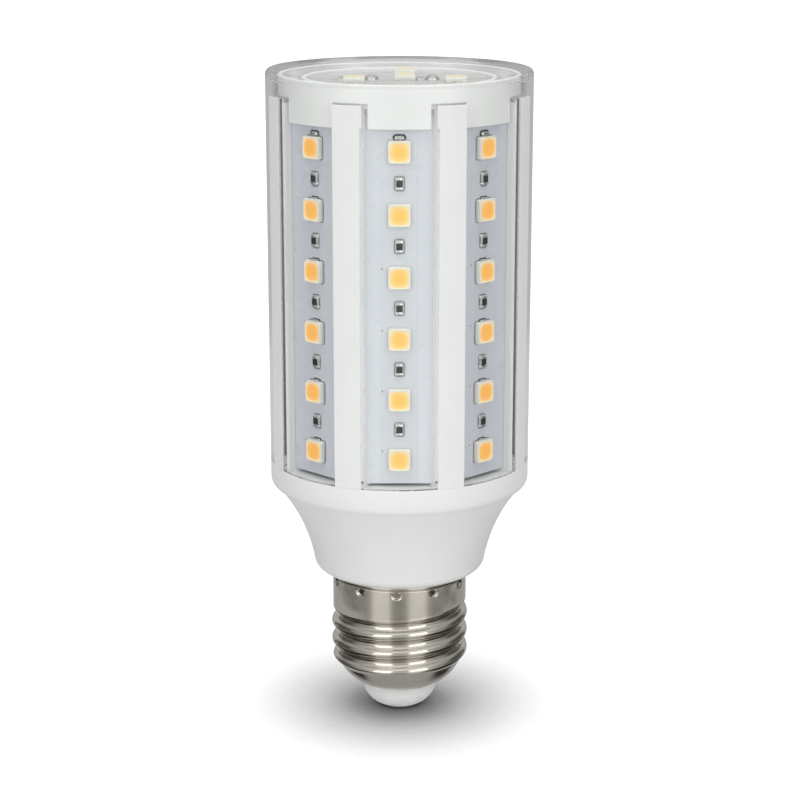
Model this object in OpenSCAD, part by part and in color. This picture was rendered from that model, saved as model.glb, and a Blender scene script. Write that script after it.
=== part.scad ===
// LED corn bulb on a 27 mm Edison screw cap.
// Millimetres, +Z up. The axis of the bulb is Z and the origin is the middle
// of the centre contact's flat end. Azimuths are counted from the front (-Y)
// towards +X, so a thing modelled at the front is turned by its azimuth.

/* [Body] */
// Outer radius of the clear cover, the ribs and the housing's rim
body_r = 24.5; // [24:0.1:26]
// Height of the top of the clear cover above the centre contact
top_z = 123.6; // [123.5:0.1:124]
// Height of the housing's rim, on which the cover and the ribs stand
rim_z = 50.33; // [50.3:0.01:50.4]
// Height of the flat tops of the ribs
rib_top_z = 119.23; // [119.1:0.01:119.3]
// Width of a rib
rib_w = 5.1; // [4.8:0.1:5.3]

/* [Clear cover] */
// Wall thickness of the clear cover
cover_wall = 1.65; // [1.5:0.05:1.7]
// Thickness of the cover's flat top
cover_top = 0.9; // [0.8:0.1:1.2]
// Outer edge radius of the cover's top
cover_edge_r = 0.9; // [0.5:0.1:1.2]

/* [Light strips] */
// Distance of the boards' front face from the axis
board_apothem = 20.65; // [20.5:0.05:20.7]
// Thickness of a board
board_t = 1; // [0.8:0.1:1.2]
// Full width of a strip board, with the edges that sit in the ribs
board_w = 13.8; // [13:0.1:14]
// Bottom of the strip boards
board_z0 = 50.9; // [50.9:0.1:51.4]
// Top of the strip boards
board_z1 = 117.2; // [116:0.1:118]
// Height of the highest light package on a strip
led_z_top = 111.05; // [110:0.05:112]
// Spacing of the light packages along a strip
led_pitch = 11.12; // [10.8:0.01:11.3]
// Light packages on one strip
leds_per_strip = 6; // [3:1:6]
// Width of a light package
led_w = 3.95; // [3.5:0.05:4.1]
// Height of a light package along the strip
led_h = 4.05; // [3.5:0.05:4.1]
// Thickness of a light package
led_t = 1.08; // [0.8:0.02:1.2]

/* [Screw cap] */
// Radius over the thread's crests
thread_r = 13.15; // [13.1:0.01:13.22]
// Radius at the thread's roots
thread_root_r = 12.13; // [12.1:0.01:12.2]
// Thread pitch, seven threads to the inch
thread_pitch = 3.629; // [3.6:0.001:3.65]
// Radius of the smooth skirt above the thread
skirt_r = 12.88; // [12.8:0.01:12.9]
// Sheet thickness of the shell
sheet_t = 0.35; // [0.3:0.05:0.4]
// Crimped dimples round the skirt
dimples = 11; // [6:1:14]

/* [Hidden] */
$fn = 96;
eps = 0.01;

n_strips = 8;
step_a = 360 / n_strips;
cover_in_r = body_r - cover_wall;
plate_z = top_z - cover_top;        // underside of the cover's top
cage_r = 22;                        // outer radius of the cage's foot ring
cage_z = 46.3;                      // bottom of the cage's foot ring
cage_in_r = 15.8;
ring_r = 22.15;                     // outer radius of the top ring
ring_in_r = 21.45;
ring_z0 = 115;                      // lower edge of the top ring's skirt
ring_z1 = plate_z - 0.05;           // the ring ends just below the cover's top
cup_r = 17.85;                      // cup inside the ring that holds the top board
cup_in_r = 17.05;
cup_z0 = 118.4;                     // the cup and its spokes stand on the ribs' inner tops
cup_z1 = 122.05;
seat_z = 120.45;                    // seat of the top board
seat_in_r = 15.5;
spoke_w = 3;
top_board_r = 17;
top_board_t = 1;
top_face_z = seat_z + top_board_t;
// places of the light packages and the chip resistors on the top board
top_led_xy = [[1, -0.7], [1, 10], [10.2, -5.2], [-8.2, -5.2]];
top_res_xy = [[-10.7, -1.5], [3.85, -0.8]];
skirt_z0 = 22.4;                    // bottom of the plain skirt
skirt_z1 = 27.95;                   // top edge of the shell
dimple_z = 26.2;
dimple_a0 = -2.6;
neck_r = 12.25;
neck_in_r = 10.6;
neck_z0 = 23;
lip_z = 28.1;
crest_z = 14.4;                     // a crest's height at the front
boss_r = 7.05;                      // insulator where it leaves the shell

// a quadratic curve through three control points
function bez(a, b, c, n) = [for (i = [0 : n]) let (t = i / n)
    a * (1 - t) * (1 - t) + b * 2 * t * (1 - t) + c * t * t];
// an arc in a profile, centre c, radius r, from angle a0 to a1
function arc(c, r, a0, a1, n) = [for (i = [0 : n]) let (a = a0 + (a1 - a0) * i / n)
    [c[0] + r * cos(a), c[1] + r * sin(a)]];
function smooth(t) = let (u = min(1, max(0, t))) u * u * (3 - 2 * u);

// ---- screw shell -------------------------------------------------------
// rounded Edison thread: crest and root arcs of one radius, joined directly
th_depth = thread_r - thread_root_r;
th_q = thread_pitch / 2;
th_rho = (th_depth * th_depth + th_q * th_q) / (4 * th_depth);
function frac(x) = x - floor(x);
function thread_at(z, phi) =
    let (s = frac((z - crest_z) / thread_pitch - phi / 360 + 0.5) - 0.5,
         d = abs(s) * thread_pitch)
    d < th_q / 2 ? thread_r - th_rho + sqrt(th_rho * th_rho - d * d)
                 : thread_root_r + th_rho - sqrt(th_rho * th_rho - (th_q - d) * (th_q - d));
// rounded bottom of the shell
dome_top = 14.1;
dome_b = 10.2;
function dome_at(z) = z >= dome_top ? 12.6
    : 12.6 * pow(1 - pow((dome_top - z) / dome_b, 2.5), 0.4);
// the thread starts over the rounded bottom and runs out below the skirt
function shell_at(z, phi) =
    let (d = dome_at(z), w1 = smooth((z - 9) / 1.8),
         t = d + (thread_at(z, phi) - d) * w1,
         ze = 21.3 + 0.8 * sin(phi), w2 = smooth((ze - z) / 0.9))
    skirt_r + (t - skirt_r) * w2;
// the sheet's inner side lies one thickness in along the profile's normal
function slope_at(z, phi) = (shell_at(z + 0.05, phi) - shell_at(z - 0.05, phi)) / 0.1;
function inner_rz(z, phi) = let (r = shell_at(z, phi), g = slope_at(z, phi), l = sqrt(1 + g * g))
    [r - sheet_t / l, z + sheet_t * g / l];
shell_rows = concat([5, 5.2, 5.55, 6, 6.6, 7.3, 8.1],
    [for (i = [0 : 36]) 9 + i * 0.3625]);
shell_n = 40;
module shell_wall() {
    rows = len(shell_rows);
    outer = [for (j = [0 : rows - 1]) for (i = [0 : shell_n - 1])
        let (phi = i * 360 / shell_n, z = shell_rows[j], r = shell_at(z, phi))
        [r * sin(phi), -r * cos(phi), z]];
    // the last ring steps inside the skirt's wall, and the two join there
    tab_o = [for (i = [0 : shell_n - 1]) let (phi = i * 360 / shell_n)
        [(skirt_r - 0.1) * sin(phi), -(skirt_r - 0.1) * cos(phi), skirt_z0 + 0.02]];
    tab_o2 = [for (i = [0 : shell_n - 1]) let (phi = i * 360 / shell_n)
        [(skirt_r - 0.1) * sin(phi), -(skirt_r - 0.1) * cos(phi), skirt_z0 + 0.3]];
    tab_i2 = [for (i = [0 : shell_n - 1]) let (phi = i * 360 / shell_n)
        [(skirt_r - 0.24) * sin(phi), -(skirt_r - 0.24) * cos(phi), skirt_z0 + 0.3]];
    tab_i = [for (i = [0 : shell_n - 1]) let (phi = i * 360 / shell_n)
        [(skirt_r - 0.24) * sin(phi), -(skirt_r - 0.24) * cos(phi), skirt_z0 + 0.02]];
    inner = [for (j = [rows - 1 : -1 : 0]) for (i = [0 : shell_n - 1])
        let (phi = i * 360 / shell_n, q = inner_rz(shell_rows[j], phi))
        [q[0] * sin(phi), -q[0] * cos(phi), q[1]]];
    pts = concat(outer, tab_o, tab_o2, tab_i2, tab_i, inner);
    total = 2 * rows + 4;
    faces = [for (j = [0 : total - 1]) for (i = [0 : shell_n - 1])
        for (h = [0, 1])
        let (j2 = (j + 1) % total, i2 = (i + 1) % shell_n,
             a = j * shell_n + i, b = j * shell_n + i2,
             c = j2 * shell_n + i2, d = j2 * shell_n + i)
        h == 0 ? [a, c, b] : [a, d, c]];
    polyhedron(points = pts, faces = faces, convexity = 8);
}
module screw_shell() color([0.66, 0.63, 0.58]) {
    shell_wall();
    difference() {
        union() {
            rotate_extrude() polygon([
                [skirt_r - sheet_t, skirt_z0], [skirt_r, skirt_z0],
                [skirt_r, 26.95], [skirt_r - 0.12, 27.05], [skirt_r - 0.02, 27.2],
                [skirt_r - 0.02, 27.75], [skirt_r - 0.12, skirt_z1],
                [skirt_r - sheet_t, skirt_z1]]);
            for (i = [0 : dimples - 1]) rotate([0, 0, dimple_a0 + i * 360 / dimples])
                translate([0, -skirt_r - 0.45, dimple_z]) sphere(r = 1.28);
        }
        for (i = [0 : dimples - 1]) rotate([0, 0, dimple_a0 + i * 360 / dimples])
            translate([0, -skirt_r - 0.45, dimple_z]) sphere(r = 0.96);
        // only the inner half of each pressed cup belongs to the sheet
        difference() {
            translate([0, 0, 24]) cylinder(r = skirt_r + 2.5, h = 3.95);
            translate([0, 0, 23.9]) cylinder(r = skirt_r, h = 4.15);
        }
    }
}

// ---- insulator and contact --------------------------------------------
module base_insulator() color([0.93, 0.93, 0.92]) difference() {
    rotate_extrude() polygon([
        [1.6, 0.6], [4.6, 0.6], [5.3, 1], [5.9, 1.6], [6.55, 2.4], [6.95, 3.3],
        [boss_r - 0.05, 4.4], [boss_r - 0.05, 5.45], [8.3, 6.35], [8.3, 7.4], [3.2, 7.4], [3.2, 5.6], [1.6, 5.6]]);
    // hole for the live lead's solder end is the rivet's bore above
}
module centre_contact() color([0.72, 0.71, 0.68])
    rotate_extrude() polygon([
        [0, 0], [3.4, 0], [3.9, 0.12], [4.25, 0.38], [4.3, 0.6], [1.58, 0.6],
        [1.58, 5.6], [2.4, 5.6], [2.4, 5.95], [0.7, 5.95], [0.7, 1.6], [0, 1.6]]);

// ---- housing -----------------------------------------------------------
module lower_housing() color([0.94, 0.94, 0.93]) difference() {
    rotate_extrude() polygon(concat(
        [[cage_r + 0.05, rim_z], [body_r - 0.1, rim_z], [body_r, rim_z - 0.1], [body_r, 46.9],
         [24.44, 46.35], [24.24, 45.92], [23.92, 45.62]],
        bez([23.5, 45.5], [18.14, 39.2], [16.4, 30.5], 20),
        [[16.28, 29.85], [15.98, 29.3], [15.52, 28.86], [14.95, 28.52], [14.3, 28.3], [13.6, lip_z + 0.05],
         [neck_r, lip_z], [neck_r, neck_z0 + 0.4], [neck_r - 0.4, neck_z0], [neck_in_r, neck_z0],
         [neck_in_r, 29]],
        bez([14.5, 31], [16.2, 39.4], [21, 45.8], 16),
        [[21, cage_z], [cage_r + 0.05, cage_z]]));
    // pockets that the crimped dimples of the shell press into
    for (i = [0 : dimples - 1]) rotate([0, 0, dimple_a0 + i * 360 / dimples])
        translate([0, -skirt_r - 0.45, dimple_z]) sphere(r = 1.36);
    // groove that the neutral lead's bare end lies in
    translate([neck_r - 1.25, -0.6, neck_z0 - 1]) cube([2.2, 1.2, 3.4]);
}

// ---- rib cage ----------------------------------------------------------
module board_box(clear, z0, z1)
    translate([-board_w / 2 - clear, -board_apothem - clear, z0])
        cube([board_w + 2 * clear, board_t + 2 * clear, z1 - z0]);
module rib_section(y0)
    intersection() {
        circle(r = body_r);
        translate([-rib_w / 2, -body_r - 1]) square([rib_w, body_r + 1 - y0]);
    }
module rib_cage() color([0.94, 0.94, 0.93]) difference() {
    union() {
        translate([0, 0, cage_z]) difference() {
            cylinder(r = cage_r, h = rim_z - cage_z);
            translate([0, 0, -1]) cylinder(r = cage_in_r, h = 9);
        }
        for (k = [0 : n_strips - 1]) rotate([0, 0, (k + 0.5) * step_a]) {
            translate([0, 0, rim_z]) linear_extrude(height = cup_z0 - rim_z) rib_section(17.9);
            translate([0, 0, cup_z0 - 1]) linear_extrude(height = rib_top_z - cup_z0 + 1) rib_section(22.6);
            translate([-rib_w / 2, -21.8, rim_z - 1.5]) cube([rib_w, 3.9, 2]);
        }
    }
    for (k = [0 : n_strips - 1]) rotate([0, 0, k * step_a]) board_box(0.05, board_z0, cup_z0 + 0.5);
    // guides for the edges of the driver board
    translate([-16.6, -0.75, cage_z - 1]) cube([33.2, 1.5, 8]);
}

// ---- clear cover -------------------------------------------------------
module clear_cover() color([0.85, 0.9, 0.9, 0.35]) difference() {
    rotate_extrude() union() {
        translate([0, plate_z]) square([body_r - cover_edge_r, cover_top]);
        translate([cover_in_r, rim_z]) square([cover_wall, top_z - cover_edge_r - rim_z]);
        // rounded outer edge
        intersection() {
            translate([body_r - cover_edge_r, top_z - cover_edge_r]) circle(r = cover_edge_r);
            translate([body_r - cover_edge_r - 0.5, top_z - cover_edge_r - 0.5]) square([3, 3]);
        }
        // inner corner fillet
        difference() {
            translate([cover_in_r - 0.3, plate_z - 0.3]) square([0.35, 0.35]);
            translate([cover_in_r - 0.3, plate_z - 0.3]) circle(r = 0.3);
        }
    }
    for (k = [0 : n_strips - 1]) rotate([0, 0, (k + 0.5) * step_a])
        translate([-rib_w / 2 - 0.05, -body_r - 1, rim_z - 1])
            cube([rib_w + 0.1, 5, rib_top_z + 0.05 - rim_z + 1]);
}

// ---- top ring ----------------------------------------------------------
module top_ring() color([0.94, 0.94, 0.93]) difference() {
    union() {
        rotate_extrude() polygon([
            [ring_in_r, ring_z0 + 0.1], [ring_in_r + 0.1, ring_z0], [ring_r - 0.15, ring_z0], [ring_r, ring_z0 + 0.15],
            [ring_r, ring_z1 - 0.15], [ring_r - 0.15, ring_z1], [ring_in_r + 0.15, ring_z1], [ring_in_r, ring_z1 - 0.15]]);
        rotate_extrude() polygon([
            [seat_in_r, seat_z - 0.9], [cup_in_r, cup_z0], [cup_r, cup_z0], [cup_r, cup_z1 - 0.15], [cup_r - 0.15, cup_z1],
            [cup_in_r + 0.15, cup_z1], [cup_in_r, cup_z1 - 0.15], [cup_in_r, seat_z], [seat_in_r, seat_z]]);
        for (k = [0 : n_strips - 1]) rotate([0, 0, (k + 0.5) * step_a])
            translate([-spoke_w / 2, -ring_r + 0.3, cup_z0]) cube([spoke_w, ring_r - 0.3 - cup_in_r - 0.4, 2.1]);
    }
    // notches for the tops of the ribs
    for (k = [0 : n_strips - 1]) rotate([0, 0, (k + 0.5) * step_a])
        translate([-rib_w / 2 - 0.7, -ring_r - 1, ring_z0 - 1])
            cube([rib_w + 1.4, ring_r + 1.4 - ring_in_r, 119.45 - ring_z0 + 1]);
}

// ---- strips ------------------------------------------------------------
module strip_board(k) color([0.8, 0.82, 0.86])
    rotate([0, 0, k * step_a]) board_box(0, board_z0, board_z1);

// outline of the filled window in a light package
module window2d(w, h, r) intersection() { square([w, h], center = true); circle(r = r); }
// a light package: lead frame, moulded cup and its window, lying on z = 0
module led_body() difference() {
    union() {
        translate([-led_w / 2 + 0.12, -led_h / 2 + 0.12, 0]) cube([led_w - 0.24, led_h - 0.24, 0.3]);
        translate([-led_w / 2, -led_h / 2, 0.2]) cube([led_w, led_h, 0.5]);
        translate([-led_w / 2 + 0.1, -led_h / 2 + 0.1, 0.6]) cube([led_w - 0.2, led_h - 0.2, led_t - 0.6]);
    }
    translate([0, 0, led_t - 0.36]) linear_extrude(height = 1) window2d(led_w - 0.5, led_h - 0.5, led_w / 2 + 0.12);
}
module led_window() translate([0, 0, led_t - 0.35]) linear_extrude(height = 0.33)
    window2d(led_w - 0.54, led_h - 0.54, led_w / 2 + 0.1);
module chip_resistor() {
    translate([-0.62, -0.75, 0.02]) cube([1.24, 1.5, 0.5]);
    for (s = [-1, 1]) translate([-0.65, s * 0.85 - 0.2, 0]) cube([1.3, 0.4, 0.56]);
}
// puts a thing that lies on z = 0 onto the front of strip k at height z
module on_strip(k, z) rotate([0, 0, k * step_a]) translate([0, -board_apothem, z]) rotate([90, 0, 0]) children();
module strip_leds(k) color([0.93, 0.9, 0.8])
    for (n = [0 : leds_per_strip - 1]) on_strip(k, led_z_top - n * led_pitch) led_body();
module strip_phosphors(k) color([0.98, 0.8, 0.35])
    for (n = [0 : leds_per_strip - 1]) on_strip(k, led_z_top - n * led_pitch) led_window();
module strip_resistors(k) color([0.12, 0.12, 0.13])
    for (n = [0 : leds_per_strip - 2]) on_strip(k, led_z_top - (n + 0.5) * led_pitch) chip_resistor();

// ---- top board ---------------------------------------------------------
function lead_x(s) = s * 5.55 + 0.45;
module top_board() color([0.84, 0.86, 0.88]) difference() {
    translate([0, 0, seat_z]) cylinder(r = top_board_r, h = top_board_t);
    for (s = [-1, 1]) translate([lead_x(s), 0, seat_z - 1]) cylinder(r = 0.5, h = 4);
}
module on_top_board() for (p = top_led_xy) translate([p[0], p[1], top_face_z]) children();
module top_leds() color([0.93, 0.9, 0.8]) on_top_board() led_body();
module top_phosphors() color([0.98, 0.8, 0.35]) on_top_board() led_window();
module top_resistors() color([0.12, 0.12, 0.13])
    for (p = top_res_xy) translate([p[0], p[1], top_face_z]) chip_resistor();

// a round wire whose route lies in the XZ plane: the ring of the tube at each
// point of the route stands square to the two runs that meet there
function unit(v) = v / norm(v);
function route_dir(p, i) = i == 0 ? unit(p[1] - p[0])
    : i == len(p) - 1 ? unit(p[i] - p[i - 1])
    : unit(unit(p[i + 1] - p[i]) + unit(p[i] - p[i - 1]));
module wire(p, r, n = 10) {
    m = len(p);
    pts = [for (i = [0 : m - 1]) let (d = route_dir(p, i)) for (j = [0 : n - 1])
        let (a = j * 360 / n)
        [p[i][0] + d[1] * r * cos(a), r * sin(a), p[i][1] - d[0] * r * cos(a)]];
    faces = concat(
        [[for (j = [0 : n - 1]) j]],
        [for (i = [0 : m - 2]) for (j = [0 : n - 1]) for (h = [0, 1])
            let (a = i * n + j, b = i * n + (j + 1) % n, c = b + n, d = a + n)
            h == 0 ? [a, c, b] : [a, d, c]],
        [[for (j = [n - 1 : -1 : 0]) (m - 1) * n + j]]);
    polyhedron(points = pts, faces = faces, convexity = 6);
}
// a route with its corners rounded: the middle of each run is kept, and each
// corner between two middles becomes a curve
function rounded(p, n = 5) = concat([p[0]],
    [for (i = [1 : len(p) - 2]) let (
        f = i == 1 ? 0.7 : 0.5, g = i == len(p) - 2 ? 0.7 : 0.5,
        c = bez(p[i - 1] * (1 - f) + p[i] * f, p[i], p[i + 1] * (1 - g) + p[i] * g, n))
        for (j = [(i == 1 ? 0 : 1) : n]) c[j]],
    [p[len(p) - 1]]);
// short links from the back of each strip board to the top board's underside
module strip_links() color([0.8, 0.8, 0.78])
    for (k = [0 : n_strips - 1]) rotate([0, 0, k * step_a])
        rotate([0, 0, -90]) wire(rounded([[board_apothem - board_t, 115.2], [14.5, 115.2], [14.5, seat_z]]), 0.3, 8);

// ---- driver ------------------------------------------------------------
driver_t = 1.2;
module driver_board() color([0.2, 0.42, 0.26])
    translate([0, driver_t / 2, 0]) rotate([90, 0, 0]) linear_extrude(height = driver_t)
        polygon([[-8.5, 20], [8.5, 20], [8.5, 32.6], [13, 34], [13, 42.5], [16.3, 44.5],
                 [16.3, 63], [-16.3, 63], [-16.3, 44.5], [-13, 42.5], [-13, 34], [-8.5, 32.6]]);
// electrolytic can lying on the board, with its sleeve's rolled end
module bulk_capacitor() color([0.16, 0.18, 0.22])
    translate([-4, -driver_t / 2 - 5.05, 47]) rotate_extrude() polygon([
        [0, 0], [4.6, 0], [5, 0.4], [5, 1.6], [4.75, 2], [5, 2.4], [5, 15.6], [4.6, 16], [3.6, 16], [3.4, 15.8], [0, 15.8]]);
module film_capacitor() color([0.72, 0.24, 0.14])
    translate([3.6, -driver_t / 2 - 5, 36]) cube([5.5, 5, 9.5]);
module bridge_rectifier() color([0.1, 0.1, 0.11]) {
    translate([-2.3, driver_t / 2 + 0.15, 36]) cube([4.6, 2.4, 4]);
    for (s = [-1, 1]) for (z = [36.7, 38.9]) translate([s * 2.8 - 0.6, driver_t / 2, z]) cube([1.2, 0.35, 0.5]);
}
module drum_inductor() color([0.22, 0.22, 0.24])
    translate([5.6, driver_t / 2, 53]) rotate([-90, 0, 0]) rotate_extrude() polygon([
        [0, 0], [4.5, 0], [4.5, 1.1], [3.9, 1.1], [3.9, 6.9], [4.5, 6.9], [4.5, 8], [0, 8]]);
// flameproof resistor that stands in for a fuse
module fuse_resistor() color([0.3, 0.5, 0.36]) {
    translate([-3.5, -driver_t / 2 - 1.75, 24.2]) rotate_extrude() polygon([
        [0, 0], [1.3, 0], [1.6, 0.4], [1.6, 1.4], [1.4, 1.8], [1.4, 5], [1.6, 5.4], [1.6, 6.4], [1.3, 6.8], [0, 6.8]]);
    for (e = [[24.4, 22.9], [30.8, 32.3]]) translate([-3.5, 0, 0]) rotate([0, 0, -90])
        wire(rounded([[driver_t / 2 + 1.75, e[0]], [driver_t / 2 + 1.75, e[1]], [driver_t / 2, e[1]]]), 0.3, 8);
}
module driver_chip() color([0.1, 0.1, 0.11]) {
    translate([-9.5, driver_t / 2 + 0.1, 49.5]) cube([3.9, 1.5, 4.9]);
    for (s = [-1, 1]) for (i = [0 : 3]) translate([-7.55 + s * 2.3 - 0.6, driver_t / 2, 49.85 + i * 1.27])
        cube([1.2, 0.3, 0.4]);
}

// ---- leads -------------------------------------------------------------
module live_lead() color([0.75, 0.15, 0.12]) {
    wire(rounded([[-2, 20], [-2, 16], [0, 12.5], [0, 6]]), 0.7);
    translate([0, 0, 2]) cylinder(r = 0.35, h = 5, $fn = 24);
}
module neutral_lead() color([0.15, 0.15, 0.16]) {
    wire(rounded([[4, 20], [4, 17.6], [9.4, 19]]), 0.7);
    wire(rounded([[8.6, 18.8], [11.25, 19.6], [11.25, 21.8], [11.85, 23.2], [11.85, 25.1]]), 0.4, 8);
}
module led_lead(s) {
    wire(rounded([[s * 9, 63], [s * 9, 72], [lead_x(s), 84], [lead_x(s), seat_z - 1.2]]), 0.7);
    translate([lead_x(s), 0, seat_z - 2.2]) cylinder(r = 0.42, h = top_board_t + 2.6, $fn = 24);
    // solder dome on the top board
    translate([lead_x(s), 0, top_face_z]) rotate_extrude() difference() {
        translate([0, -0.45]) circle(r = 1.42);
        translate([-3, -3]) square([3, 6]);
        translate([-1, -3]) square([4, 3]);
    }
}
module led_lead_plus() color([0.75, 0.15, 0.12]) led_lead(1);
module led_lead_minus() color([0.15, 0.15, 0.16]) led_lead(-1);

screw_shell();
base_insulator();
centre_contact();
lower_housing();
rib_cage();
clear_cover();
top_ring();
strip_board(0);  // strip_board_1
strip_board(1);  // strip_board_2
strip_board(2);  // strip_board_3
strip_board(3);  // strip_board_4
strip_board(4);  // strip_board_5
strip_board(5);  // strip_board_6
strip_board(6);  // strip_board_7
strip_board(7);  // strip_board_8
strip_leds(0);  // strip_leds_1
strip_leds(1);  // strip_leds_2
strip_leds(2);  // strip_leds_3
strip_leds(3);  // strip_leds_4
strip_leds(4);  // strip_leds_5
strip_leds(5);  // strip_leds_6
strip_leds(6);  // strip_leds_7
strip_leds(7);  // strip_leds_8
strip_phosphors(0);  // strip_phosphors_1
strip_phosphors(1);  // strip_phosphors_2
strip_phosphors(2);  // strip_phosphors_3
strip_phosphors(3);  // strip_phosphors_4
strip_phosphors(4);  // strip_phosphors_5
strip_phosphors(5);  // strip_phosphors_6
strip_phosphors(6);  // strip_phosphors_7
strip_phosphors(7);  // strip_phosphors_8
strip_resistors(0);  // strip_resistors_1
strip_resistors(1);  // strip_resistors_2
strip_resistors(2);  // strip_resistors_3
strip_resistors(3);  // strip_resistors_4
strip_resistors(4);  // strip_resistors_5
strip_resistors(5);  // strip_resistors_6
strip_resistors(6);  // strip_resistors_7
strip_resistors(7);  // strip_resistors_8
top_board();
top_leds();
top_phosphors();
top_resistors();
strip_links();
driver_board();
bulk_capacitor();
film_capacitor();
bridge_rectifier();
drum_inductor();
fuse_resistor();
driver_chip();
live_lead();
neutral_lead();
led_lead_plus();
led_lead_minus();
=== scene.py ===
import math

import bpy
import bmesh
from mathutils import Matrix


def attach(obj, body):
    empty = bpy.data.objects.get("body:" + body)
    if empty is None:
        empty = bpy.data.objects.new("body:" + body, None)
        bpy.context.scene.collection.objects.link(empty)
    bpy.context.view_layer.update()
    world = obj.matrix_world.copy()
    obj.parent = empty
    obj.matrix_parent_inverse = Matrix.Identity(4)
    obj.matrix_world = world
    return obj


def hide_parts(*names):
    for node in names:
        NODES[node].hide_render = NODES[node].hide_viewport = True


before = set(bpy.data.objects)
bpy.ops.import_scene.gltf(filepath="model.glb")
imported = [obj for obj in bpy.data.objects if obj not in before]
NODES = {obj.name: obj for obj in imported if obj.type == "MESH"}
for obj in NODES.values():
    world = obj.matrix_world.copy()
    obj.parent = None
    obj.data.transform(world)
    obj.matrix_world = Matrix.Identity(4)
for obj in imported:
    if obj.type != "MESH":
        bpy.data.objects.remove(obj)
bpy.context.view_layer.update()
MM = 0.001
STRIPS = 8
STEP = 2 * math.pi / STRIPS

# ---------------------------------------------------------------- dimensions (mm)
BODY_R = 24.5
TOP_Z = 123.6
RIM_Z = 50.33
RIB_TOP_Z = 119.23
RIB_W = 5.1
WALL = 1.65
PLATE_Z = 122.7
BOARD_A = 20.65
LED_TOP = 111.05
LED_PITCH = 11.12
LEDS = 6
TOP_FACE = 121.45
PITCH = 3.629
THREAD_R = 13.15
ROOT_R = 12.13
SKIRT_R = 12.88
CREST_Z = 14.4
DIMPLES = 11


# ---------------------------------------------------------------- mesh helpers
def smooth01(t):
    u = min(1.0, max(0.0, t))
    return u * u * (3 - 2 * u)


def bez(a, b, c, n):
    out = []
    for i in range(n + 1):
        t = i / n
        out.append(tuple(a[k] * (1 - t) ** 2 + b[k] * 2 * t * (1 - t) + c[k] * t * t for k in (0, 1)))
    return out


def arc(cx, cy, r, a0, a1, n):
    return [
        (cx + r * math.cos(math.radians(a0 + (a1 - a0) * i / n)), cy + r * math.sin(math.radians(a0 + (a1 - a0) * i / n)))
        for i in range(n + 1)
    ]


def new_object(name, verts, faces, angle=35.0, uv=None):
    """Vertices in millimetres become a piece in metres, with smooth faces and sharp edges past the angle."""
    mesh = bpy.data.meshes.new(name)
    mesh.from_pydata([(x * MM, y * MM, z * MM) for x, y, z in verts], [], faces)
    bm = bmesh.new()
    bm.from_mesh(mesh)
    if uv is not None:
        layer = bm.loops.layers.uv.new("local_mm")
        bm.verts.ensure_lookup_table()
        for f in bm.faces:
            for lp in f.loops:
                lp[layer].uv = uv[lp.vert.index]
    bmesh.ops.recalc_face_normals(bm, faces=bm.faces)
    bm.to_mesh(mesh)
    bm.free()
    mesh.shade_smooth()
    mesh.set_sharp_from_angle(angle=math.radians(angle))
    ob = bpy.data.objects.new(name, mesh)
    bpy.context.scene.collection.objects.link(ob)
    return ob


def lathe(profile, n):
    """Closed profile of (r, z) turned about Z; a point on the axis becomes one vertex."""
    verts, faces, rings = [], [], []
    for r, z in profile:
        if r < 1e-6:
            rings.append([len(verts)])
            verts.append((0, 0, z))
        else:
            base = len(verts)
            for i in range(n):
                a = 2 * math.pi * i / n
                verts.append((r * math.sin(a), -r * math.cos(a), z))
            rings.append(list(range(base, base + n)))
    for j in range(len(rings)):
        a, b = rings[j], rings[(j + 1) % len(rings)]
        if len(a) == 1 and len(b) == 1:
            continue
        for i in range(n):
            i2 = (i + 1) % n
            if len(a) == 1:
                faces.append((a[0], b[i2], b[i]))
            elif len(b) == 1:
                faces.append((a[i], a[i2], b[0]))
            else:
                faces.append((a[i], a[i2], b[i2], b[i]))
    return verts, faces


def rounded_rect(hx, hy, r, per=6):
    """Corner-rounded rectangle about the origin, counter-clockwise, 4 * (per + 1) points."""
    r = min(r, hx - 1e-4, hy - 1e-4)
    pts = []
    for cx, cy, a0 in ((hx - r, hy - r, 0), (-hx + r, hy - r, 90), (-hx + r, -hy + r, 180), (hx - r, -hy + r, 270)):
        for i in range(per + 1):
            a = math.radians(a0 + 90 * i / per)
            pts.append((cx + r * math.cos(a), cy + r * math.sin(a)))
    return pts


def loft(loops, start=0, caps=(True, True)):
    """Loops of equal length, each a list of (x, y, z), joined into a skin with flat or single-point ends."""
    verts, faces = [], []
    n = len(loops[0])
    rings = []
    for lp in loops:
        rings.append(list(range(start + len(verts), start + len(verts) + len(lp))))
        verts += lp
    for a, b in zip(rings, rings[1:]):
        if len(b) == 1:
            faces += [(a[i], a[(i + 1) % n], b[0]) for i in range(n)]
        elif len(a) == 1:
            faces += [(a[0], b[(i + 1) % n], b[i]) for i in range(n)]
        else:
            faces += [(a[i], a[(i + 1) % n], b[(i + 1) % n], b[i]) for i in range(n)]
    if caps[0] and len(rings[0]) > 1:
        faces.append(tuple(reversed(rings[0])))
    if caps[1] and len(rings[-1]) > 1:
        faces.append(tuple(rings[-1]))
    return verts, faces


def band(hx, hy, r, wide, high, cx=0.0, cy=0.0):
    """A thin closed bead that runs round a rounded rectangle on the board."""
    loops = [ring(hx + wide, hy + wide, r + wide, 0.0, cx, cy), ring(hx + wide - 0.01, hy + wide - 0.01, r + wide - 0.01, high, cx, cy),
             ring(hx + 0.01, hy + 0.01, r + 0.01, high, cx, cy), ring(hx, hy, r, 0.0, cx, cy)]
    verts, faces = loft(loops, 0, (False, False))
    n, last = len(loops[0]), 3 * len(loops[0])
    faces += [(last + i, last + (i + 1) % n, (i + 1) % n, i) for i in range(n)]
    return verts, faces


def ring(hx, hy, r, z, cx=0.0, cy=0.0, per=6):
    return [(x + cx, y + cy, z) for x, y in rounded_rect(hx, hy, r, per)]


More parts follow.
